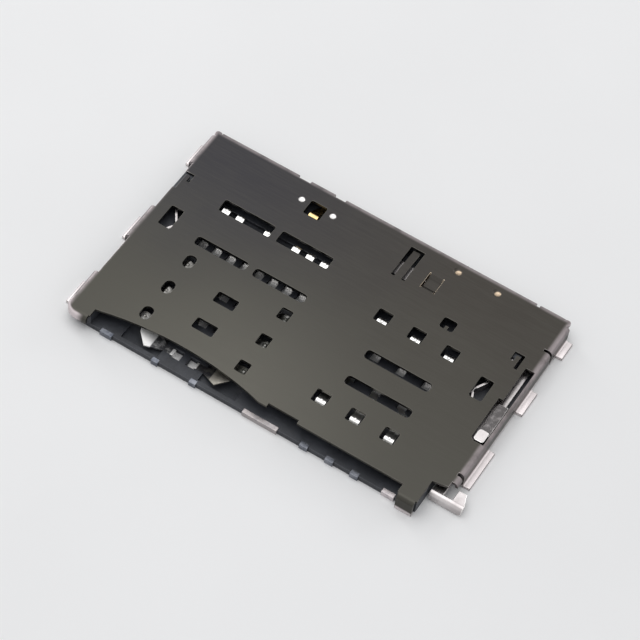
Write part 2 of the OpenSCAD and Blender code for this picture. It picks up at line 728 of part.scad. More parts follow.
// Windows over the contacts; each lies ahead of what is seen through it from the front
sd_tail_ahead = 0.99;
sim_a_tail_ahead = 0.92;
sim_b_rear_ahead = 1.12;
sim_b_front_ahead = 0.63;
sim_a_left_window = [0.74, 1.1];
sim_a_right_window = [0.82, 0.96];
sim_a_tail_window = [1.55, 0.9];
sim_b_tail_window = 4.84;
sim_b_tail_shift = 0.42;
module contact_windows() {
  sd_window = sd_pitch * sd_count / 2 - 0.44;
  for (side = [-1, 1]) translate([sd_x + side * (sd_window + window_rib) / 2, 0]) {
    translate([0, sd_y - margin / 2]) round_rect(sd_window, tip_window, window_r);
    translate([2 * margin, sd_land_y - sd_tail_ahead])
      round_rect(sd_window, tail_window, 2 * window_r);
  }
  for (i = [1 : 3], side = [-1, 1]) translate([sim_a_x + side * (sim_rows / 2 - window_r), sim_a_row_y(i)])
    if (side < 0) round_rect(sim_a_left_window.x, sim_a_left_window.y, 3 * window_r);
    else round_rect(sim_a_right_window.x, sim_a_right_window.y, window_r);
  for (i = [1, 2]) translate([sim_a_x, sim_a_row_y(i) - sim_a_jog - sim_a_tail_ahead])
    round_rect(sim_a_tail_window.x, sim_a_tail_window.y, window_r);
  translate([sim_b_x, sim_b_y]) {
    for (col = [-1 : 1], row = [-1, 1]) translate([col * sim_pitch, row * (sim_rows / 2 + 0.08)])
      round_rect(tip_window, tip_window, window_r);
    for (y = [sim_b_rear_land - sim_b_rear_ahead, -sim_b_front_land - sim_b_front_ahead])
      translate([sim_b_tail_shift, y]) round_rect(sim_b_tail_window, tail_window, 2 * window_r);
  }
}

// Windows over the switch and the tray locks, and a small barbed one in the right bay.
// The right lock window lies further out from the slot than the left one.
barb_window = [1, 0.9];
barb = [0.24, 0.3];
lock_window_d = 1.8;
lock_window_out = [0.45, 0.2];
lock_window_back = 0.1;
module inspection_windows() {
  translate([detect_x, house_rear - detect_land - detect_reach + 0.12])
    round_rect(detect_window, detect_window, window_r);
  translate([sim_b_x + sim_pitch / 2, sim_b_y + sim_rows / 2 + 2.02]) difference() {
    round_rect(barb_window.x, barb_window.y, 1.5 * window_r);
    translate([0, (barb.y - barb_window.y) / 2]) square(barb, center = true);
  }
  for (side = [0, 1]) mirrored_in_slot(side == 1)
    translate([slot_r + lock_window_out[side], lock_y + lock_window_back])
      round_rect(lock_window, lock_window_d, window_r);
}

// Hooked slits beside the lock anchors; the left one has the longer leg
slit_hook = 0.74;
slit_legs = [1.25, 1.62];
module anchor_slits() {
  for (side = [0, 1]) mirrored_in_slot(side == 1) translate([lock_ax - 0.06, lock_y + 3.76]) {
    span_rect(0, slit_hook, 0, slit_w);
    span_rect(slit_hook - slit_w, slit_hook, -slit_legs[side] + slit_w, slit_w);
    span_rect(0, slit_w, -slit_hook + slit_w, slit_w);
  }
}

// Opening along the right edge that shows the rod and stops its lug
side_open_front = rod_lug_y - 0.14;
side_open_step = lock_y + 0.15;
side_open_rear = lock_y + 3.2;
side_open_r = 0.3;
module side_opening() {
  inner = wall_x - sheet;
  span_rect(rod_x - 0.2, inner, side_open_front + side_open_r, side_open_step);
  span_rect(rod_x - 0.2 + side_open_r, inner, side_open_front, side_open_step);
  translate([rod_x - 0.2 + side_open_r, side_open_front + side_open_r]) circle(side_open_r);
  span_rect(rod_x + margin, inner, side_open_step - cut, side_open_rear);
}

// Spring tongue pressed down over the lever
tongue_x = pivot.x - 2.13;
tongue_w = 0.54;
tongue_gap = 0.25;
tongue_root = wall_y - 3.7;
tongue_tip = wall_y - 1.04;
tongue_drop = min(0.14, (under - lever_top) / 2);
top_mid = shell_h - sheet / 2;
module tongue_window() {
  half = tongue_w / 2 + tongue_gap;
  span_rect(tongue_x - half, tongue_x + half, tongue_root, tongue_tip + margin);
}
module tongue() {
  path = [[tongue_root - margin, top_mid], [tongue_root + 0.6, top_mid],
          [tongue_tip, top_mid - tongue_drop]];
  translate([tongue_x - tongue_w / 2, 0, 0]) rotate([90, 0, 90]) linear_extrude(tongue_w)
    polygon(ribbon(path, sheet));
}

// Pressed bridge that keeps the lever on its pivot
bridge_w = 0.98;
bridge_len = 1.38;
bridge_ramp = 0.3;
bridge_drop = under - lever_top - 2.4 * run_clear;
module bridge_window() {
  translate(pivot) square([bridge_w + 0.08, bridge_len], center = true);
}
module bridge() {
  half = bridge_len / 2;
  low = top_mid - bridge_drop;
  path = [[-half - margin, top_mid], [-half, top_mid], [bridge_ramp - half, low],
          [half - bridge_ramp, low], [half, top_mid], [half + margin, top_mid]];
  translate([pivot.x - bridge_w / 2, pivot.y, 0]) rotate([90, 0, 90]) linear_extrude(bridge_w)
    polygon(ribbon(path, sheet));
}

// Pressed dimples
dimples = [[detect_x - 1.25, wall_y - 1.83], [detect_x + 1.2, wall_y - 1.84],
           [pivot.x + 0.89, wall_y - 0.94], [pivot.x + 3.91, wall_y - 0.96]];
dimple_r = 0.3;
dimple_d = 0.11;
dimple_ball = (dimple_r * dimple_r + dimple_d * dimple_d) / (2 * dimple_d);
module dimple_under() {
  for (p = dimples) translate([p.x, p.y, shell_h - dimple_d + dimple_ball]) intersection() {
    sphere(dimple_ball + sheet);
    translate([0, 0, -dimple_ball - sheet - cut])
      cylinder(r = dimple_r + sheet, h = dimple_d + sheet + cut - lap);
  }
}
module dimple_hollows() {
  for (p = dimples) translate([p.x, p.y, shell_h - dimple_d + dimple_ball]) sphere(dimple_ball);
}

module latch_windows() {
  w = latch_len + 2 * fit_clear;
  translate([0, 0, latch_z - fit_clear]) linear_extrude(latch_h + 2 * fit_clear) {
    for (y = left_latches) translate([-wall_x, y]) square([3 * sheet, w], center = true);
    for (x = rear_latches) translate([x, wall_y]) square([w, 3 * sheet], center = true);
  }
}

module shell() {
  color(steel) {
    difference() {
      union() {
        translate([0, 0, under]) linear_extrude(sheet) top_plate();
        walls();
        dimple_under();
      }
      translate([0, 0, under - margin]) linear_extrude(sheet + cut) {
        contact_windows();
        inspection_windows();
        anchor_slits();
        tongue_window();
        bridge_window();
      }
      translate([0, 0, shell_h - fold_r]) linear_extrude(fold_r + cut) side_opening();
      dimple_hollows();
      latch_windows();
    }
    tongue();
    bridge();
  }
}

shell();
housing();
push_rod();
eject_lever();
lock_spring(true);  // left_lock_spring
lock_spring(false);  // right_lock_spring
detect_spring();
detect_pad();
front_pads();
for (i = [1 : sd_count]) sd_contact(i);
for (i = [1 : sim_count]) sim_a_contact(i);
for (i = [1 : sim_count]) sim_b_contact(i);
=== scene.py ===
# %% [markdown]
# # Dressing a flat card socket
# The solids of this part come from CAD: a pierced steel shell over a moulded base, a push rod, an eject
# lever and rows of contact springs. This lesson keeps those solids where they are and gives them what CAD
# leaves out: softened edges, rolled steel, moulded plastic, plating, contact points, light and a camera.
# Everything is in metres, and one frame is shared with the CAD model, so nothing has to be fitted by eye.

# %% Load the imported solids
import math
import bmesh
import bpy
from mathutils import Matrix, Vector


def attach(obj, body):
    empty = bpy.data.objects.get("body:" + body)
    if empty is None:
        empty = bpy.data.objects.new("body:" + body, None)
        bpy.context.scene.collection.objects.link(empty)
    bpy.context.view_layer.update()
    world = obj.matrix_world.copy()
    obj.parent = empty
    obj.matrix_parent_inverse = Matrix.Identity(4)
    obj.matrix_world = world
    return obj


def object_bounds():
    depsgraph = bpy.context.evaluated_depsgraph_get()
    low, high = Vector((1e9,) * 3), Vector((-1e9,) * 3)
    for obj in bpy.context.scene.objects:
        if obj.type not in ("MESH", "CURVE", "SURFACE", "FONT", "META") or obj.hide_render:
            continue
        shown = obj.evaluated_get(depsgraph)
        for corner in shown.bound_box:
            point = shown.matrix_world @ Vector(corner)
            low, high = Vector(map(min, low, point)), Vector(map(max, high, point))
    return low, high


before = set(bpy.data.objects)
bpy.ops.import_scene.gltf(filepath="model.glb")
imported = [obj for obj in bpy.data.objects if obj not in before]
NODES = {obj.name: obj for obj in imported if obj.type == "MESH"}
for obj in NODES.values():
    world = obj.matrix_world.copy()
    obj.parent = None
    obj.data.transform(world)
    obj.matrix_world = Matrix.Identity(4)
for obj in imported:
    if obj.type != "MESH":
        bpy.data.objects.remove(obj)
MM = 0.001
cad_box = [list(corner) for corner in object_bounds()]
print("nodes:", len(NODES), "box:", [[round(v / MM, 2) for v in corner] for corner in cad_box])

# %% [markdown]
# ## Camera
# The photograph looks down on the socket from the front, a little to the right, and the picture is turned by
# a few degrees. A camera could be placed with a Track To constraint, but that can't be rolled by an exact
# angle. So its three axes are worked out from the two viewing angles and the roll, and go straight into its
# matrix.

# %% Place the camera at the photograph's viewing angle
AIM = Vector((0, 0, 0.7)) * MM
AZIMUTH, ELEVATION, ROLL = math.radians(24.0), math.radians(53.58), math.radians(9.35)
DISTANCE = 181.2 * MM
SENSOR_MM, LENS_MM = 36, 156.27
NEAREST, FARTHEST = 10 * MM, 10

flat_share = math.cos(ELEVATION)
back = Vector((math.sin(AZIMUTH) * flat_share, -math.cos(AZIMUTH) * flat_share, math.sin(ELEVATION)))
level_right = (-back).cross(Vector((0, 0, 1))).normalized()
level_up = level_right.cross(-back)
right = math.cos(ROLL) * level_right + math.sin(ROLL) * level_up
up = -math.sin(ROLL) * level_right + math.cos(ROLL) * level_up

lens = bpy.data.cameras.new("socket_camera")
lens.sensor_width = SENSOR_MM
lens.lens = LENS_MM
lens.clip_start, lens.clip_end = NEAREST, FARTHEST
camera = bpy.data.objects.new("socket_camera", lens)
place = Matrix((right, up, back)).transposed().to_4x4()
place.translation = AIM + back * DISTANCE
camera.matrix_world = place
bpy.context.scene.collection.objects.link(camera)
bpy.context.scene.camera = camera
print("camera at", [round(v / MM, 1) for v in place.translation], "mm, lens", round(lens.lens, 1))

# %% [markdown]
# ## Light
# Steel has hardly a colour of its own: it shows what stands round it. The world is white to the camera and to
# reflections, and softer as a source of light, which the Light Path node tells apart. Three wide lamps add
# the rest: one overhead, whose far edge mirrors in the shell so that it darkens to the rear, and two low ones
# behind, which the folded edges catch as pale lines.

# %% Set the world and the three lamps
SKY_LIGHT, SKY_GLOW = (0.97, 0.98, 1.0, 1), 0.5
BACKDROP, BACKDROP_GLOW = (1, 1, 1, 1), 1.0


def soft_world():
    world = bpy.data.worlds.new("studio")
    world.use_nodes = True
    tree = world.node_tree
    tree.nodes.clear()
    path = tree.nodes.new("ShaderNodeLightPath")
    seen = tree.nodes.new("ShaderNodeMath")
    seen.operation = "MAXIMUM"
    tree.links.new(path.outputs["Is Camera Ray"], seen.inputs[0])
    tree.links.new(path.outputs["Is Glossy Ray"], seen.inputs[1])
    mirrored = tree.nodes.new("ShaderNodeMath")
    mirrored.operation = "MAXIMUM"
    tree.links.new(seen.outputs[0], mirrored.inputs[0])
    tree.links.new(path.outputs["Is Transmission Ray"], mirrored.inputs[1])
    lighting = tree.nodes.new("ShaderNodeBackground")
    lighting.inputs["Color"].default_value = SKY_LIGHT
    lighting.inputs["Strength"].default_value = SKY_GLOW
    backdrop = tree.nodes.new("ShaderNodeBackground")
    backdrop.inputs["Color"].default_value = BACKDROP
    backdrop.inputs["Strength"].default_value = BACKDROP_GLOW
    either = tree.nodes.new("ShaderNodeMixShader")
    tree.links.new(mirrored.outputs[0], either.inputs["Fac"])
    tree.links.new(lighting.outputs[0], either.inputs[1])
    tree.links.new(backdrop.outputs[0], either.inputs[2])
    out = tree.nodes.new("ShaderNodeOutputWorld")
    tree.links.new(either.outputs[0], out.inputs["Surface"])
    return world


def soft_lamp(name, where, size, watts):
    lamp = bpy.data.lights.new(name, "AREA")
    lamp.shape = "RECTANGLE"
    lamp.size, lamp.size_y = size[0] * MM, size[1] * MM
    lamp.energy = watts
    thing = bpy.data.objects.new(name, lamp)
    thing.location = Vector(where) * MM
    thing.rotation_mode = "QUATERNION"
    thing.rotation_quaternion = (AIM - thing.location).to_track_quat("-Z", "Y")
    bpy.context.scene.collection.objects.link(thing)
    return thing


bpy.context.scene.world = soft_world()
overhead = soft_lamp("overhead", where=(-60, 10, 260), size=(300, 300), watts=0.34)
behind_left = soft_lamp("behind_left", where=(-240, 120, 90), size=(60, 200), watts=0.12)
behind_right = soft_lamp("behind_right", where=(120, 250, 90), size=(200, 60), watts=0.10)
bpy.context.scene.view_settings.view_transform = "Standard"
print("lamps:", [(o.name, round(o.data.energy, 2)) for o in (overhead, behind_left, behind_right)])

# %% [markdown]
# ## Floor
# A plain pale floor carries the shadow. It is a single large face, so that the horizon stays far from the
# part, and it lies a hundredth of a millimetre low, so that it doesn't share a plane with the part's feet.

# %% Lay the floor
FLOOR_REACH, FLOOR_DROP = 1500 * MM, 0.01 * MM
sheet = bmesh.new()
bmesh.ops.create_grid(sheet, x_segments=1, y_segments=1, size=FLOOR_REACH)
bmesh.ops.translate(sheet, verts=sheet.verts, vec=(0, 0, -FLOOR_DROP))
floor_mesh = bpy.data.meshes.new("floor")
sheet.to_mesh(floor_mesh)
sheet.free()
floor = bpy.data.objects.new("floor", floor_mesh)
bpy.context.scene.collection.objects.link(floor)
print("floor reaches", round(FLOOR_REACH, 2), "m each way")

# %% [markdown]
# ## Shared effects
# Several finishes need the same few effects, so each effect is built once as a node group with named sockets
# and is placed in a material with its own values. All of them read Object coordinates, because those are the
# CAD frame: a pattern then lies still on the part from every side and through every move. A few helpers come
# first, for the nodes that every group needs.

# %% Small helpers for node groups
PER_METRE = 1000.0


def effect(name, numbers, outputs):
    group = bpy.data.node_groups.new(name, "ShaderNodeTree")
    group.interface.new_socket("Vector", in_out="INPUT", socket_type="NodeSocketVector")
    for label, value in numbers.items():
        socket = group.interface.new_socket(label, in_out="INPUT", socket_type="NodeSocketFloat")
        socket.default_value = value
    for label in outputs:
        group.interface.new_socket(label, in_out="OUTPUT", socket_type="NodeSocketFloat")
    return group, group.nodes.new("NodeGroupInput"), group.nodes.new("NodeGroupOutput")


def feed(tree, socket, value):
    if isinstance(value, (int, float)):
        socket.default_value = value
    else:
        tree.links.new(value, socket)


def sum_node(tree, kind, *values):
    node = tree.nodes.new("ShaderNodeMath")
    node.operation = kind
    for socket, value in zip(node.inputs, values):
        feed(tree, socket, value)
    return node.outputs[0]


def ramp(tree, value, low, high, start=0.0, end=1.0):
    node = tree.nodes.new("ShaderNodeMapRange")
    node.interpolation_type = "SMOOTHSTEP"
    tree.links.new(value, node.inputs["Value"])
    for label, number in (("From Min", low), ("From Max", high), ("To Min", start), ("To Max", end)):
        feed(tree, node.inputs[label], number)
    return node.outputs["Result"]


def span(tree, value, low, high, soft):
    rising = ramp(tree, value, low - soft, low + soft)
    falling = ramp(tree, value, high - soft, high + soft, start=1.0, end=0.0)
    return sum_node(tree, "MULTIPLY", rising, falling)


def split_xyz(tree, vector):
    node = tree.nodes.new("ShaderNodeSeparateXYZ")
    tree.links.new(vector, node.inputs[0])
    return node.outputs


def noise(tree, vector, scale, detail):
    node = tree.nodes.new("ShaderNodeTexNoise")
    tree.links.new(vector, node.inputs["Vector"])
    feed(tree, node.inputs["Scale"], scale)
    node.inputs["Detail"].default_value = detail
    return node.outputs["Fac"]


print("helpers ready")

# %% [markdown]
# ### Rolled grain
# Sheet steel comes off the rolls with fine lines along the strip. A noise that is stretched one way gives
# them. The sizes are in lines per millimetre, so that the grain has its real scale.

# %% Rolled grain
grain, g_in, g_out = effect("rolled_grain", {"Lines along": 0.6, "Lines across": 14.0}, ["Lines"])
along_x = sum_node(grain, "MULTIPLY", g_in.outputs["Lines along"], PER_METRE)
across_x = sum_node(grain, "MULTIPLY", g_in.outputs["Lines across"], PER_METRE)
stretch = grain.nodes.new("ShaderNodeCombineXYZ")
grain.links.new(along_x, stretch.inputs["X"])
grain.links.new(across_x, stretch.inputs["Y"])
grain.links.new(across_x, stretch.inputs["Z"])
scaled = grain.nodes.new("ShaderNodeVectorMath")
scaled.operation = "MULTIPLY"
grain.links.new(g_in.outputs["Vector"], scaled.inputs[0])
grain.links.new(stretch.outputs[0], scaled.inputs[1])
grain.links.new(noise(grain, scaled.outputs[0], scale=1.0, detail=3.0), g_out.inputs["Lines"])
print("group:", grain.name)

# %% [markdown]
# ### Cloudy tone
# Handling, heat and plating leave soft clouds of slightly lighter and darker metal. Two noises of different
# size are added, and a smooth ramp sets how strongly they part.

# %% Cloudy tone
FINER, WIDE_SHARE, FINE_SHARE = 4.7, 0.7, 0.3
clouds, c_in, c_out = effect("cloudy_tone", {"Clouds per mm": 0.2, "Low": 0.35, "High": 0.65}, ["Tone"])
wide_scale = sum_node(clouds, "MULTIPLY", c_in.outputs["Clouds per mm"], PER_METRE)
fine_scale = sum_node(clouds, "MULTIPLY", wide_scale, FINER)
wide = noise(clouds, c_in.outputs["Vector"], wide_scale, detail=2.0)
fine = noise(clouds, c_in.outputs["Vector"], fine_scale, detail=4.0)
both = sum_node(clouds, "ADD", sum_node(clouds, "MULTIPLY", wide, WIDE_SHARE),
                sum_node(clouds, "MULTIPLY", fine, FINE_SHARE))
clouds.links.new(ramp(clouds, both, c_in.outputs["Low"], c_in.outputs["High"]), c_out.inputs["Tone"])
print("group:", clouds.name)

# %% [markdown]
# ### Fine pits
# Moulded plastic has the fine texture of its eroded mould. A Voronoi texture gives each cell a small dip, and
# the group puts out its depth.

# %% Fine pits
PIT_MIDDLE, PIT_RIM = 0.1, 0.75
pits, p_in, p_out = effect("fine_pits", {"Pits per mm": 12.0}, ["Depth"])
cells = pits.nodes.new("ShaderNodeTexVoronoi")
pits.links.new(p_in.outputs["Vector"], cells.inputs["Vector"])
pits.links.new(sum_node(pits, "MULTIPLY", p_in.outputs["Pits per mm"], PER_METRE), cells.inputs["Scale"])
pits.links.new(ramp(pits, cells.outputs["Distance"], PIT_MIDDLE, PIT_RIM), p_out.inputs["Depth"])
print("group:", pits.name)

# %% [markdown]
# ### Painted fold highlight
# Where the sheet is folded down, its round catches the low lamps behind as a pale line, and this group paints
# that line too, as a painted highlight. It measures how close a point is to the shell's sides and rear, which
# are known in the shared frame, keeps to the height of the fold, and breaks the band up a little. Core is the
# share of the band that is full.

# %% Painted fold highlight
SHELL_SIDE, SHELL_END = 14.0 * MM, 9.2 * MM
FOLD_LOW, FOLD_HIGH = 0.95 * MM, 1.2 * MM
PATCHES_PER_METRE = 900.0
rim, r_in, r_out = effect("painted_fold_highlight", {"Band mm": 0.3, "Core": 0.0}, ["Rim"])
at = split_xyz(rim, r_in.outputs["Vector"])
band = sum_node(rim, "MULTIPLY", r_in.outputs["Band mm"], MM)
from_side = sum_node(rim, "SUBTRACT", SHELL_SIDE, sum_node(rim, "ABSOLUTE", at["X"]))
from_rear = sum_node(rim, "SUBTRACT", SHELL_END, at["Y"])
full = sum_node(rim, "MULTIPLY", band, r_in.outputs["Core"])
close = ramp(rim, sum_node(rim, "MINIMUM", from_side, from_rear), full, band, start=1.0, end=0.0)
folded = sum_node(rim, "MULTIPLY", close, ramp(rim, at["Z"], FOLD_LOW, FOLD_HIGH))
patchy = noise(rim, r_in.outputs["Vector"], PATCHES_PER_METRE, detail=3.0)
broken_up = ramp(rim, patchy, low=0.25, high=0.6, start=0.45, end=1.0)
rim.links.new(sum_node(rim, "MULTIPLY", folded, broken_up), r_out.inputs["Rim"])
shell_size = [round(2 * half / MM, 1) for half in (SHELL_SIDE, SHELL_END)]
print("group:", rim.name, "for a shell of", shell_size, "mm")

# %% [markdown]
# ### Painted highlight spot
# The group gives a soft round mask about one place, in millimetres of the shared frame, where a painted
# highlight or painted sheen goes, and Core is the share of its radius that is full.

# %% Painted highlight spot
spot_numbers = {"X mm": 0.0, "Y mm": 0.0, "Radius mm": 0.3, "Core": 0.55}
spot, s_in, s_out = effect("painted_highlight_spot", spot_numbers, ["Spot"])
at = split_xyz(spot, s_in.outputs["Vector"])
off_x = sum_node(spot, "SUBTRACT", at["X"], sum_node(spot, "MULTIPLY", s_in.outputs["X mm"], MM))
off_y = sum_node(spot, "SUBTRACT", at["Y"], sum_node(spot, "MULTIPLY", s_in.outputs["Y mm"], MM))
away = sum_node(spot, "SQRT", sum_node(spot, "ADD", sum_node(spot, "MULTIPLY", off_x, off_x),
                                       sum_node(spot, "MULTIPLY", off_y, off_y)))
reach = sum_node(spot, "MULTIPLY", s_in.outputs["Radius mm"], MM)
core = sum_node(spot, "MULTIPLY", reach, s_in.outputs["Core"])
spot.links.new(ramp(spot, away, core, reach, start=1.0, end=0.0), s_out.inputs["Spot"])
print("group:", spot.name)

# %% [markdown]
# ## Finishes
# Each finish is one Principled shader. The shader stays in the material itself, and only what varies over the
# surface reaches it through links: colour, roughness and a small bump. Short helpers make what they share.


# %% Helpers for finishes
def finish_start(name):
    material = bpy.data.materials.new(name)
    material.use_nodes = True
    tree = material.node_tree
    shader = tree.nodes["Principled BSDF"]
    coords = tree.nodes.new("ShaderNodeTexCoord").outputs["Object"]
    return material, tree, shader, coords


def place_effect(tree, group, coords, **numbers):
    node = tree.nodes.new("ShaderNodeGroup")
    node.node_tree = group
    tree.links.new(coords, node.inputs["Vector"])
    for label, value in numbers.items():
        node.inputs[label.replace("_", " ")].default_value = value
    return node.outputs[0]


def blend_colours(tree, mask, first, second):
    node = tree.nodes.new("ShaderNodeMix")
    node.data_type = "RGBA"
    tree.links.new(mask, node.inputs["Factor"])
    for label, value in (("A", first), ("B", second)):
        socket = [s for s in node.inputs if s.name == label and s.type == "RGBA"][0]
        if isinstance(value, tuple):
            socket.default_value = (*value, 1)
        else:
            tree.links.new(value, socket)
    return [s for s in node.outputs if s.type == "RGBA"][0]


def rough_bump(tree, shader, height, strength, distance_mm):
    node = tree.nodes.new("ShaderNodeBump")
    node.inputs["Strength"].default_value = strength
    node.inputs["Distance"].default_value = distance_mm * MM
    tree.links.new(height, node.inputs["Height"])
    tree.links.new(node.outputs[0], shader.inputs["Normal"])


print("finish helpers ready")

# %% [markdown]
# ### Colour of the sheet
# The shell is thin rolled steel with a matt grey plating. It is cooler at the rear left, warmer at the rear
# right. It is painted lighter towards the front and palest in the middle of the mouth, as painted reflection,
# on top of the one that the lamp overhead gives. Its feet are tinned for soldering, and their place and
# height in the frame say where they are. Clouds and rolled lines vary the tone by a few parts in a hundred,
# as more would look dirty. The folds, the front left corner and the four dimples get painted highlights. The
# colour is built by a function, because the narrow faces beside the cut edges need the same one.

# %% Colour of the sheet
COOL_REAR, WARM_REAR = (0.041, 0.040, 0.044), (0.050, 0.046, 0.041)
FRONT_GREY, MOUTH_SHEEN, STREAK = (0.062, 0.060, 0.052), (0.087, 0.084, 0.073), (0.090, 0.086, 0.078)
FOLD_HIGHLIGHT_TINT, CORNER_HIGHLIGHT, TINNED = (0.27, 0.24, 0.245), (0.62, 0.56, 0.57), (0.66, 0.61, 0.615)
# painted highlights on the four pressed dimples, two silver and two gold
SILVER_DOT_HIGHLIGHT, GOLD_DOT_HIGHLIGHT, DOT_R = (0.85, 0.83, 0.82), (0.52, 0.41, 0.30), 0.26
SILVER_DOTS, GOLD_DOTS = ((-6.03, 7.37), (-3.58, 7.36)), ((5.69, 8.2), (8.69, 8.21))
COOL_TO_WARM, FRONT_TO_REAR, REAR_SHARE = (-13 * MM, 9 * MM), (-8 * MM, 9 * MM), (0.05, 0.95)
CLOUD_SWING, LINE_SHARE = 0.1, 0.15
FOLD_TOP, FOLD_SOFT = cad_box[1][2] - 0.02 * MM, 0.08 * MM
FOOT_TOP, FOOT_SIDE = (0.2 * MM, 0.4 * MM), (13.7 * MM, 14.0 * MM)
LEG_FACE, LEG_WIDTH, LEG_SOFT = (-8.9 * MM, -8.7 * MM), (11.1 * MM, 12.5 * MM), 0.05 * MM


def dots(tree, coords, places):
    masks = [place_effect(tree, spot, coords, X_mm=x, Y_mm=y, Radius_mm=DOT_R) for x, y in places]
    return sum_node(tree, "MAXIMUM", *masks)


def sheet_colour(tree, coords, lines):
    at = split_xyz(tree, coords)
    tone = place_effect(tree, clouds, coords, Clouds_per_mm=0.11, Low=0.3, High=0.7)
    rear = blend_colours(tree, ramp(tree, at["X"], *COOL_TO_WARM), COOL_REAR, WARM_REAR)
    # painted reflection: the sheet is painted lighter towards the front, beside what the lamp overhead gives
    to_rear = ramp(tree, at["Y"], *FRONT_TO_REAR, *REAR_SHARE)
    cloudy = sum_node(tree, "ADD", to_rear, ramp(tree, tone, 0.0, 1.0, -CLOUD_SWING, CLOUD_SWING))
    grey = blend_colours(tree, cloudy, FRONT_GREY, rear)
    # painted sheen: a wide pale spot in the middle of the mouth
    mouth = place_effect(tree, spot, coords, X_mm=-2.0, Y_mm=-9.5, Radius_mm=13.0, Core=0.0)
    colour = blend_colours(tree, mouth, grey, MOUTH_SHEEN)
    lined = blend_colours(tree, ramp(tree, lines, 0.35, 0.75, 0.0, LINE_SHARE), colour, STREAK)
    # painted highlight along the folds at the sides and rear
    fold_highlight = place_effect(tree, rim, coords, Band_mm=0.5, Core=0.35)
    # painted highlight on the fold at the front left corner
    corner = place_effect(tree, spot, coords, X_mm=-13.7, Y_mm=-9.0, Radius_mm=1.3)
    below_top = ramp(tree, at["Z"], FOLD_TOP - FOLD_SOFT, FOLD_TOP, start=1.0, end=0.0)
    corner_fold_highlight = sum_node(tree, "MULTIPLY", corner, below_top)
    with_highlights = blend_colours(tree, corner_fold_highlight, blend_colours(tree, fold_highlight, lined, FOLD_HIGHLIGHT_TINT), CORNER_HIGHLIGHT)
    low_down = ramp(tree, at["Z"], *FOOT_TOP, start=1.0, end=0.0)
    outside = ramp(tree, sum_node(tree, "ABSOLUTE", at["X"]), *FOOT_SIDE)
    at_front = ramp(tree, at["Y"], *LEG_FACE, start=1.0, end=0.0)
    leg = sum_node(tree, "MULTIPLY", at_front, span(tree, at["X"], *LEG_WIDTH, LEG_SOFT))
    feet = sum_node(tree, "MULTIPLY", low_down, sum_node(tree, "MAXIMUM", outside, leg))
    tinned = blend_colours(tree, feet, with_highlights, TINNED)
    # painted highlights on the dimples
    with_silver_highlights = blend_colours(tree, dots(tree, coords, SILVER_DOTS), tinned, SILVER_DOT_HIGHLIGHT)
    return blend_colours(tree, dots(tree, coords, GOLD_DOTS), with_silver_highlights, GOLD_DOT_HIGHLIGHT)


print("the sheet has", len(SILVER_DOTS) + len(GOLD_DOTS), "bright dimples")

# %% [markdown]
# ### Shell sheet
# The rolled lines reach the shader three times: in the colour, in the roughness and as a very low bump. That
# way a line that looks paler also shines a little less, as on real sheet.

# %% Shell sheet
SHEET_GRAIN = {"Lines_along": 0.5, "Lines_across": 11.0}
shell_sheet, tree, shader, coords = finish_start("shell_sheet")
shader.inputs["Metallic"].default_value = 1.0
lines = place_effect(tree, grain, coords, **SHEET_GRAIN)
tree.links.new(sheet_colour(tree, coords, lines), shader.inputs["Base Color"])
tree.links.new(ramp(tree, lines, low=0.2, high=0.8, start=0.34, end=0.46), shader.inputs["Roughness"])
rough_bump(tree, shader, lines, strength=0.1, distance_mm=0.002)
print("finish:", shell_sheet.name)

# %% [markdown]
# ### Cut edge of the sheet
# A punch leaves a narrow bright band where it shears the sheet. The Bevel modifier below gives each edge a
# thin face of its own, and this finish goes on it. Inside the windows the edges are dull. On the outline they
# get a painted highlight, and beside the bridging window and at one tail window a warm painted glint. Where
# an edge runs out, Bevel also leaves slivers that lie flat in the sheet: the True Normal of the Geometry node
# tells them by facing straight up, and they take the colour of the sheet.

# %% Sheared edge
DULL_EDGE, OUTLINE_EDGE_HIGHLIGHT, WARM_EDGE_GLINT = (0.09, 0.086, 0.078), (0.55, 0.50, 0.51), (0.55, 0.46, 0.36)
NEARLY_UP, UP = 0.965, 0.985
sheared_edge, tree, shader, coords = finish_start("sheared_edge")
shader.inputs["Metallic"].default_value = 1.0
# painted highlight along the outline of the sheet
outline = place_effect(tree, rim, coords, Band_mm=0.9)
# warm painted glints beside the bridging window and at one tail window
bridge = place_effect(tree, spot, coords, X_mm=4.71, Y_mm=6.4, Radius_mm=1.3)
glint = place_effect(tree, spot, coords, X_mm=-10.14, Y_mm=0.86, Radius_mm=0.35)
plain = blend_colours(tree, outline, DULL_EDGE, OUTLINE_EDGE_HIGHLIGHT)
warm = blend_colours(tree, sum_node(tree, "MAXIMUM", bridge, glint), plain, WARM_EDGE_GLINT)
facing = split_xyz(tree, tree.nodes.new("ShaderNodeNewGeometry").outputs["True Normal"])
flat = ramp(tree, facing["Z"], NEARLY_UP, UP)
lines = place_effect(tree, grain, coords, **SHEET_GRAIN)
edge_colour = blend_colours(tree, flat, warm, sheet_colour(tree, coords, lines))
tree.links.new(edge_colour, shader.inputs["Base Color"])
streaky = place_effect(tree, grain, coords, Lines_along=9.0, Lines_across=2.0)
tree.links.new(ramp(tree, streaky, low=0.25, high=0.75, start=0.22, end=0.42), shader.inputs["Roughness"])
rough_bump(tree, shader, streaky, strength=0.1, distance_mm=0.002)
print("finish:", sheared_edge.name)

# %% [markdown]
# ### Moulding
# The base is a heat-proof glass-filled plastic, nearly black with a blue cast. The fill shows as faint paler
# flow streaks in the colour, and the eroded mould leaves a fine grain, which roughens the gloss and is the
# bump. The edges are a little paler and smoother.

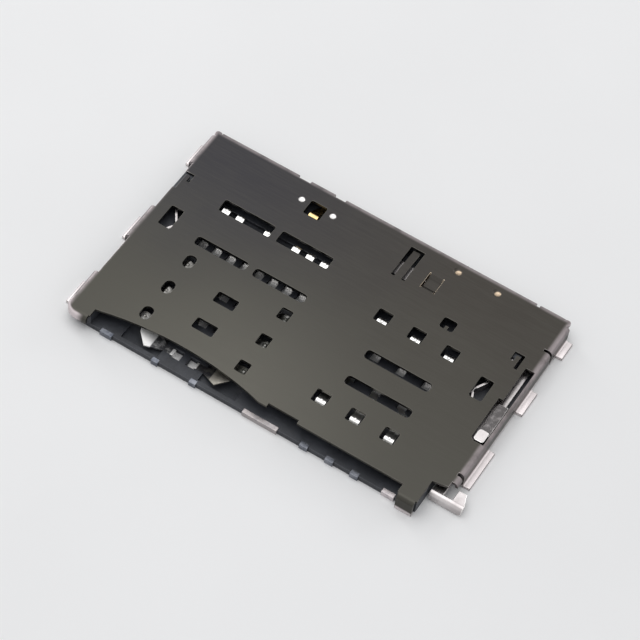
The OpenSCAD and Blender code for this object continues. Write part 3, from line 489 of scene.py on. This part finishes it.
# %% Moulding and its edges
MOULD_DARK, MOULD_PALE = (0.022, 0.024, 0.030), (0.044, 0.048, 0.058)
MOULD_EDGE_DARK, MOULD_EDGE_PALE = (0.035, 0.038, 0.046), (0.075, 0.08, 0.095)
moulding, tree, shader, coords = finish_start("moulding")
flow = place_effect(tree, clouds, coords, Clouds_per_mm=0.5, Low=0.35, High=0.7)
depth = place_effect(tree, pits, coords, Pits_per_mm=14.0)
tree.links.new(blend_colours(tree, flow, MOULD_DARK, MOULD_PALE), shader.inputs["Base Color"])
tree.links.new(ramp(tree, depth, low=0.0, high=1.0, start=0.42, end=0.6), shader.inputs["Roughness"])
rough_bump(tree, shader, depth, strength=0.35, distance_mm=0.006)

moulding_edge, tree, shader, coords = finish_start("moulding_edge")
flow = place_effect(tree, clouds, coords, Clouds_per_mm=0.9, Low=0.35, High=0.7)
tree.links.new(blend_colours(tree, flow, MOULD_EDGE_DARK, MOULD_EDGE_PALE), shader.inputs["Base Color"])
tree.links.new(ramp(tree, flow, low=0.0, high=1.0, start=0.32, end=0.48), shader.inputs["Roughness"])
print("finishes:", moulding.name, moulding_edge.name)

# %% [markdown]
# ### A function for bright metals
# Stamped steel, contact plating, gold and tin differ in colour and gloss, so one function builds all of them
# from the same effects. What changes along a piece is given as zones: a box in millimetres of the frame, and
# the colour in it. Solder has a matt white skin, so below the height that it reaches the strips are white and
# only part metal.

# %% A function for bright metals
SOLDERED, SOLDER_TOP, SOLDER_METAL = (0.95, 0.94, 0.93), 0.2, 0.45
ZONE_SOFT, ZONE_LEAST = 0.04, 0.7
STRIP_STRETCH, GLOSS_SWING = 0.12, 0.08


def bright_metal(name, dark, pale, gloss, lines_per_mm, clouds_per_mm, zones=(), solder_mm=None, metal=1.0):
    material, tree, shader, coords = finish_start(name)
    shader.inputs["Metallic"].default_value = metal
    at = split_xyz(tree, coords)
    tone = place_effect(tree, clouds, coords, Clouds_per_mm=clouds_per_mm, Low=0.34, High=0.66)
    colour = blend_colours(tree, tone, dark, pale)
    for box, zone_colour in zones:
        mottle = place_effect(tree, clouds, coords, Clouds_per_mm=3.0, Low=0.3, High=0.6)
        mask = ramp(tree, mottle, 0.0, 1.0, start=ZONE_LEAST, end=1.0)
        for axis, (low, high) in box.items():
            inside = span(tree, at[axis], low * MM, high * MM, ZONE_SOFT * MM)
            mask = sum_node(tree, "MULTIPLY", mask, inside)
        colour = blend_colours(tree, mask, colour, zone_colour)
    if solder_mm:
        bare = ramp(tree, at["Z"], (solder_mm - ZONE_SOFT) * MM, (solder_mm + ZONE_SOFT) * MM)
        colour = blend_colours(tree, bare, SOLDERED, colour)
        tree.links.new(ramp(tree, bare, 0.0, 1.0, SOLDER_METAL, metal), shader.inputs["Metallic"])
    tree.links.new(colour, shader.inputs["Base Color"])
    lines = place_effect(tree, grain, coords, Lines_along=lines_per_mm,
                         Lines_across=lines_per_mm * STRIP_STRETCH)
    roughness = ramp(tree, lines, low=0.25, high=0.75, start=gloss, end=gloss + GLOSS_SWING)
    tree.links.new(roughness, shader.inputs["Roughness"])
    rough_bump(tree, shader, lines, strength=0.03, distance_mm=0.0005)
    return material


print("bright metals have solder up to", SOLDER_TOP, "mm")

# %% [markdown]
# ### Stamped steel, contact plating, gold and tin
# The rod and the lever are stamped from bright strip, and the rod's land under the opening is painted dark,
# as shade. The contacts are plated, and in the left bay their crowns in the windows are painted darker, as
# shade. In the mouth one spring is satin and painted a little paler, for the bright reflection that it
# catches, and the other is painted darker, for the dark underside of the shell that it mirrors; their arms
# are painted dark, as shade. The switch is thinly gilded, and the pads along the front are tin, some paler
# than others.

# %% Bright metals
# painted shade for the arms that dip under the shell
SHADED = (0.05, 0.05, 0.055)
# painted shade: the rod's land down in the side opening is painted dark
ROD_LAND, ROD_LAND_SHADE = {"X": (12.4, 14.5), "Y": (-1.73, 0.83), "Z": (0.9, 1.5)}, (0.09, 0.085, 0.085)
# painted shade: the crowns inside the windows of the left bay are painted darker
LEFT_CROWNS, LEFT_CROWN_SHADE = {"X": (-9.9, -8.9), "Y": (-7.0, -0.9)}, (0.16, 0.155, 0.145)
RIGHT_CROWNS, RIGHT_CROWN_SHADE = {"X": (-2.3, -1.3), "Y": (-7.0, -0.9)}, (0.05, 0.05, 0.045)
LEFT_ARM, LEFT_TAIL = {"X": (-7.9, -6.6)}, {"X": (-6.6, -5.8)}
RIGHT_ARM, RIGHT_TAIL = {"X": (-4.6, -3.4)}, {"X": (-5.4, -4.6)}
LONG_PAD, LONG_PAD_TIN = {"X": (-0.5, 2.3)}, (0.40, 0.37, 0.37)
END_PAD, END_PAD_TIN = {"X": (9.9, 11.0)}, (0.66, 0.61, 0.62)

ejector_steel = bright_metal(
    "ejector_steel", dark=(0.42, 0.39, 0.39), pale=(0.60, 0.57, 0.57), gloss=0.26, lines_per_mm=10.0,
    clouds_per_mm=0.5, zones=[(ROD_LAND, ROD_LAND_SHADE)])
contact_strip = bright_metal(
    "contact_strip", dark=(0.76, 0.75, 0.73), pale=(0.90, 0.89, 0.87), gloss=0.27, lines_per_mm=16.0,
    clouds_per_mm=1.1, zones=[(LEFT_CROWNS, LEFT_CROWN_SHADE), (RIGHT_CROWNS, RIGHT_CROWN_SHADE)], solder_mm=SOLDER_TOP)
# painted reflection: a paler, satin copy of the plating for the spring that mirrors the bright world
satin_strip_painted_bright = bright_metal(
    "satin_strip_painted_bright", dark=(0.86, 0.85, 0.84), pale=(0.95, 0.94, 0.93), gloss=0.38, lines_per_mm=16.0,
    clouds_per_mm=1.1, zones=[(LEFT_CROWNS, LEFT_CROWN_SHADE), (LEFT_ARM, SHADED), (LEFT_TAIL, SOLDERED)],
    solder_mm=SOLDER_TOP, metal=0.45)
# painted reflection: a darker copy of the plating for the spring that mirrors the shell's dark underside
strip_painted_dark_reflection = bright_metal(
    "strip_painted_dark_reflection", dark=(0.24, 0.23, 0.20), pale=(0.38, 0.36, 0.32), gloss=0.40, lines_per_mm=16.0,
    clouds_per_mm=1.1, zones=[(RIGHT_CROWNS, RIGHT_CROWN_SHADE), (RIGHT_ARM, SHADED), (RIGHT_TAIL, SOLDERED)],
    solder_mm=SOLDER_TOP)
gold_strip = bright_metal(
    "gold_strip", dark=(0.60, 0.40, 0.15), pale=(0.86, 0.66, 0.34), gloss=0.18, lines_per_mm=16.0,
    clouds_per_mm=1.1)
pad_tin = bright_metal(
    "pad_tin", dark=(0.10, 0.11, 0.135), pale=(0.24, 0.25, 0.28), gloss=0.34, lines_per_mm=8.0,
    clouds_per_mm=1.4, zones=[(LONG_PAD, LONG_PAD_TIN), (END_PAD, END_PAD_TIN)])
metals = (ejector_steel, contact_strip, satin_strip_painted_bright, strip_painted_dark_reflection, gold_strip, pad_tin)
print("finishes:", [metal.name for metal in metals])

# %% [markdown]
# ### Floor finish
# The floor is nearly white and matt, so that it doesn't colour the metal that stands on it. A trace of slow
# clouds in its tone keeps it from looking like a computer's idea of a plane.

# %% Floor finish
FLOOR_DARK, FLOOR_PALE = (0.88, 0.88, 0.88), (0.91, 0.91, 0.91)
floor_finish, tree, shader, coords = finish_start("floor_finish")
uneven = place_effect(tree, clouds, coords, Clouds_per_mm=0.02, Low=0.3, High=0.7)
tree.links.new(blend_colours(tree, uneven, FLOOR_DARK, FLOOR_PALE), shader.inputs["Base Color"])
shader.inputs["Roughness"].default_value = 0.75
shader.inputs["Specular IOR Level"].default_value = 0.2
floor_mesh.materials.append(floor_finish)
print("finish:", floor_finish.name)

# %% [markdown]
# ## Softening the CAD edges
# No real edge is perfectly sharp, and it is the small round on it that catches the light. The solids keep
# their own vertices, so the round is made by modifiers: Weld joins the loose triangles, Decimate merges those
# that lie in one plane, and Bevel then rounds the edges. Bevel could choose them by angle alone, but it would
# then round inner corners too, and where an inner and an outer round meet it throws vertices far out. So a
# small node tree writes the bevel weight that Bevel reads: it marks edges that turn outwards, and on the
# shell it leaves out the short sloping ones at the ends of the folds, where the same happens.

# %% Marking the outer edges, as geometry nodes
OUTER_TURN, SHORT_SLOPE_MM, LEVEL_RISE = math.radians(38), 0.12, 0.0005 * MM


def geometry_tree(name):
    tree = bpy.data.node_groups.new(name, "GeometryNodeTree")
    tree.interface.new_socket("Geometry", in_out="INPUT", socket_type="NodeSocketGeometry")
    tree.interface.new_socket("Geometry", in_out="OUTPUT", socket_type="NodeSocketGeometry")
    return tree, tree.nodes.new("NodeGroupInput"), tree.nodes.new("NodeGroupOutput")


def edge_turn(tree, kind, sort, turn):
    angle = tree.nodes.new("GeometryNodeInputMeshEdgeAngle")
    compare = tree.nodes.new("FunctionNodeCompare")
    compare.operation = kind
    compare.inputs["B"].default_value = turn
    tree.links.new(angle.outputs[sort], compare.inputs["A"])
    return compare.outputs[0]


def outer_edges(name, shortest_slope_mm):
    tree, start, end = geometry_tree(name)
    ends = tree.nodes.new("GeometryNodeInputMeshEdgeVertices")
    along = tree.nodes.new("ShaderNodeVectorMath")
    along.operation = "SUBTRACT"
    tree.links.new(ends.outputs["Position 1"], along.inputs[0])
    tree.links.new(ends.outputs["Position 2"], along.inputs[1])
    length = tree.nodes.new("ShaderNodeVectorMath")
    length.operation = "LENGTH"
    tree.links.new(along.outputs["Vector"], length.inputs[0])
    rise = sum_node(tree, "ABSOLUTE", split_xyz(tree, along.outputs["Vector"])["Z"])
    level = sum_node(tree, "LESS_THAN", rise, LEVEL_RISE)
    long_enough = sum_node(tree, "GREATER_THAN", length.outputs["Value"], shortest_slope_mm * MM)
    sharp = edge_turn(tree, "GREATER_THAN", "Signed Angle", OUTER_TURN)
    mark = tree.nodes.new("GeometryNodeStoreNamedAttribute")
    mark.data_type = "FLOAT"
    mark.domain = "EDGE"
    mark.inputs["Name"].default_value = "bevel_weight_edge"
    chosen = sum_node(tree, "MULTIPLY", sharp, sum_node(tree, "MAXIMUM", level, long_enough))
    tree.links.new(start.outputs[0], mark.inputs["Geometry"])
    tree.links.new(chosen, mark.inputs["Value"])
    tree.links.new(mark.outputs[0], end.inputs[0])
    return tree


marked = outer_edges("outer_edges", 0.0)
marked_sheet = outer_edges("outer_edges_of_the_sheet", SHORT_SLOPE_MM)
print("trees:", marked.name, marked_sheet.name)

# %% [markdown]
# ### Crisp shading
# The solids come with stored normals. They no longer fit once Bevel has added faces, and would shade as dark
# streaks. So a second small node tree drops them, and shades smoothly only across edges that turn by less
# than an angle.

# %% Shading by angle, as geometry nodes
GENTLE_TURN = math.radians(20)


def crisp_shading(name):
    tree, start, end = geometry_tree(name)
    drop = tree.nodes.new("GeometryNodeRemoveAttribute")
    drop.inputs["Name"].default_value = "custom_normal"
    all_faces = tree.nodes.new("GeometryNodeSetShadeSmooth")
    all_faces.domain = "FACE"
    all_edges = tree.nodes.new("GeometryNodeSetShadeSmooth")
    all_edges.domain = "EDGE"
    gentle = edge_turn(tree, "LESS_THAN", "Unsigned Angle", GENTLE_TURN)
    tree.links.new(start.outputs[0], drop.inputs["Geometry"])
    tree.links.new(drop.outputs[0], all_faces.inputs["Geometry"])
    tree.links.new(all_faces.outputs[0], all_edges.inputs["Geometry"])
    tree.links.new(gentle, all_edges.inputs["Shade Smooth"])
    tree.links.new(all_edges.outputs[0], end.inputs[0])
    return tree


crisp = crisp_shading("crisp_shading")
print("tree:", crisp.name)

# %% [markdown]
# ### Edges and finishes together
# Each solid gets its finish in the first material slot and that of its edges in the second, which Bevel gives
# to the faces it makes. A second Weld takes up the faces that collapse to a line where a round runs out.
# Weighted Normal ends the list of modifiers and lets the large faces lead, so that a flat face stays flat up
# to the fold that runs out of it.

# %% Round the edges and put the finishes on
WELD_REACH, FLAT_TURN = 0.0005 * MM, math.radians(0.4)
ROUND_STEPS, LARGE_FACE_WEIGHT, EDGE_SLOT = 2, 80, 1
STRIP_ROUND = 0.012


def soften(name, main, edge, width_mm, edges=marked):
    thing = NODES[name]
    thing.data.materials.clear()
    thing.data.materials.append(main)
    thing.data.materials.append(edge)
    thing.modifiers.new("join", "WELD").merge_threshold = WELD_REACH
    flats = thing.modifiers.new("whole_faces", "DECIMATE")
    flats.decimate_type = "DISSOLVE"
    flats.angle_limit = FLAT_TURN
    thing.modifiers.new("outer_edges", "NODES").node_group = edges
    soft = thing.modifiers.new("soft_edges", "BEVEL")
    soft.width = width_mm * MM
    soft.segments = ROUND_STEPS
    soft.limit_method = "WEIGHT"
    soft.use_clamp_overlap = False
    soft.material = EDGE_SLOT
    thing.modifiers.new("close_up", "WELD").merge_threshold = WELD_REACH
    thing.modifiers.new("crisp_shading", "NODES").node_group = crisp
    even = thing.modifiers.new("large_faces_lead", "WEIGHTED_NORMAL")
    even.weight = LARGE_FACE_WEIGHT
    even.keep_sharp = True


soften("shell", shell_sheet, sheared_edge, width_mm=0.025, edges=marked_sheet)
soften("housing", moulding, moulding_edge, width_mm=0.02)
for name in ("push_rod", "eject_lever"):
    soften(name, ejector_steel, contact_strip, width_mm=0.03)
for name in ("left_lock_spring", "right_lock_spring"):
    soften(name, ejector_steel, contact_strip, width_mm=0.015)
for name in ("detect_spring", "detect_pad"):
    soften(name, gold_strip, gold_strip, STRIP_ROUND)
contacts = sorted(n for n in NODES if "_contact_" in n)
in_the_mouth = {"sim_a_contact_3": satin_strip_painted_bright, "sim_a_contact_6": strip_painted_dark_reflection}
for name in contacts:
    strip = in_the_mouth.get(name, contact_strip)
    soften(name, strip, strip, STRIP_ROUND)
soften("front_pads", pad_tin, pad_tin, STRIP_ROUND)
print("softened:", len(NODES), "nodes,", len(contacts), "of them contacts")

# %% [markdown]
# ## Contact points
# A card contact touches at one small raised point, which is coined into its crown. Each is a small sphere
# that is squashed to a low dome and sunk partly into the crown. It could be a bump in the material, but the
# point stands out against the light, so it is geometry. The crowns' tops are found in the CAD solids
# themselves: the highest vertices of each contact.

# %% Coin the contact points
POINT_R, POINT_H, POINT_SUNK = 0.13 * MM, 0.04 * MM, 0.3
POINT_ROUND, POINT_RINGS, CROWN_DEPTH = 14, 10, 0.002 * MM
points = bmesh.new()
for name in contacts:
    corners = [v.co for v in NODES[name].data.vertices]
    top = max(c.z for c in corners)
    crown = [c for c in corners if c.z > top - CROWN_DEPTH]
    middle = sum(crown, Vector()) / len(crown)
    ball = bmesh.ops.create_uvsphere(points, u_segments=POINT_ROUND, v_segments=POINT_RINGS, radius=POINT_R)
    bmesh.ops.scale(points, verts=ball["verts"], vec=(1, 1, (1 + POINT_SUNK) * POINT_H / POINT_R))
    bmesh.ops.translate(points, verts=ball["verts"], vec=(middle.x, middle.y, top - POINT_SUNK * POINT_H))
bmesh.ops.recalc_face_normals(points, faces=points.faces)
for face in points.faces:
    face.smooth = True
points_mesh = bpy.data.meshes.new("contact_points")
points.to_mesh(points_mesh)
points.free()
points_mesh.materials.append(contact_strip)
contact_points = bpy.data.objects.new("contact_points", points_mesh)
bpy.context.scene.collection.objects.link(contact_points)
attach(contact_points, "socket")
print("contact points:", len(contacts))
